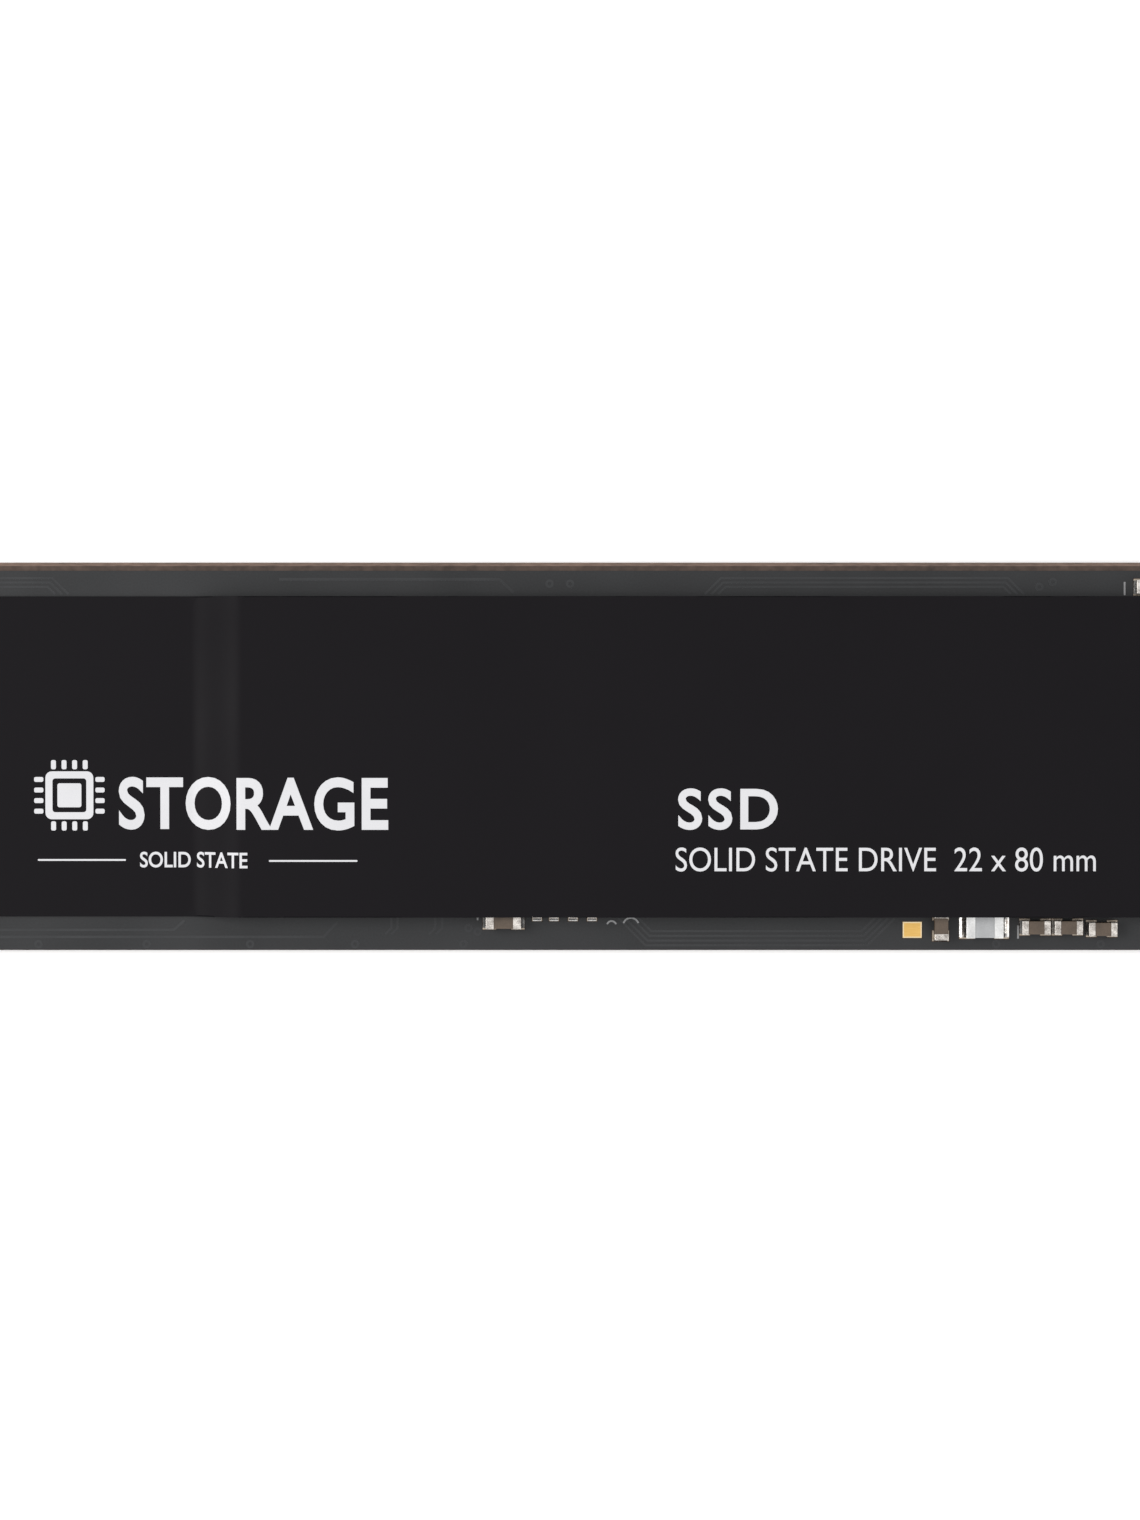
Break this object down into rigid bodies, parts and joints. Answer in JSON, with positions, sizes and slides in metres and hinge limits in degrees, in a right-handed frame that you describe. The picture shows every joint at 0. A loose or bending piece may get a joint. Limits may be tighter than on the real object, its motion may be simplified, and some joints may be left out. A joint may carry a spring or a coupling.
{
  "type": "solid state drive",
  "caption": "Bare-board solid state drive: black circuit board with a gold-fingered edge connector, half-round screw notch and a matt black label over its chips.",
  "frame": {"origin": "middle of the board in length and width, at the underside of the lower label", "axes": "+X along the board to the edge connector, +Y across it to the side of contact 1, +Z out of the face that carries the chips"},
  "size_m": [0.08, 0.022, 0.0023],
  "materials": {
    "laminate": "cut glass-epoxy laminate",
    "solder_mask": "satin black solder mask",
    "copper_land": "plated land",
    "gold": "gold plating over copper",
    "label_black": "matt printed film",
    "label_under": "matt printed film",
    "label_glue": "acrylic glue",
    "solder": "solder",
    "chip_mould": "moulded epoxy",
    "silicon": "polished silicon",
    "die_film": "die-attach film",
    "chip_substrate": "package laminate",
    "tinned_metal": "matt tin",
    "bright_tin": "bright tin",
    "capacitor_ceramic": "fired brown ceramic",
    "white_ceramic": "fired white ceramic",
    "fuse_ceramic": "fired pale grey ceramic",
    "resistor_film": "black glaze",
    "ferrite": "pressed ferrite",
    "crystal_ceramic": "fired dark ceramic",
    "plated_lid": "plated lid"
  },
  "bodies": {
    "root": {"bottom_label": "label_under", "capacitor_large_body": "capacitor_ceramic", "capacitor_large_terminals": "tinned_metal", "capacitor_medium_bodies": "capacitor_ceramic", "capacitor_medium_terminals": "tinned_metal", "capacitor_small_bodies": "capacitor_ceramic", "capacitor_small_terminals": "tinned_metal", "component_lands": "copper_land", "contact_fingers_bottom": "gold", "contact_fingers_top": "gold", "controller_die": "silicon", "controller_mould": "chip_mould", "controller_solder_balls": "solder", "controller_substrate": "chip_substrate", "crystal_base": "crystal_ceramic", "crystal_lid": "plated_lid", "fuse_body": "fuse_ceramic", "fuse_terminals": "bright_tin", "inductor_bodies": "ferrite", "inductor_terminals": "tinned_metal", "nand_a_die_films": "die_film", "nand_a_dies": "silicon", "nand_a_mould": "chip_mould", "nand_a_solder_balls": "solder", "nand_a_substrate": "chip_substrate", "nand_b_die_films": "die_film", "nand_b_dies": "silicon", "nand_b_mould": "chip_mould", "nand_b_solder_balls": "solder", "nand_b_substrate": "chip_substrate", "pcb_core": "laminate", "pmic_leads": "tinned_metal", "pmic_package": "chip_mould", "resistor_bodies": "white_ceramic", "resistor_films": "resistor_film", "resistor_terminals": "tinned_metal", "screw_notch_plating": "gold", "solder_fillets": "solder", "solder_mask_bottom": "solder_mask", "solder_mask_top": "solder_mask", "test_pads": "gold", "top_label": "label_black", "top_label_glue": "label_glue"}
  },
  "joints": []
}
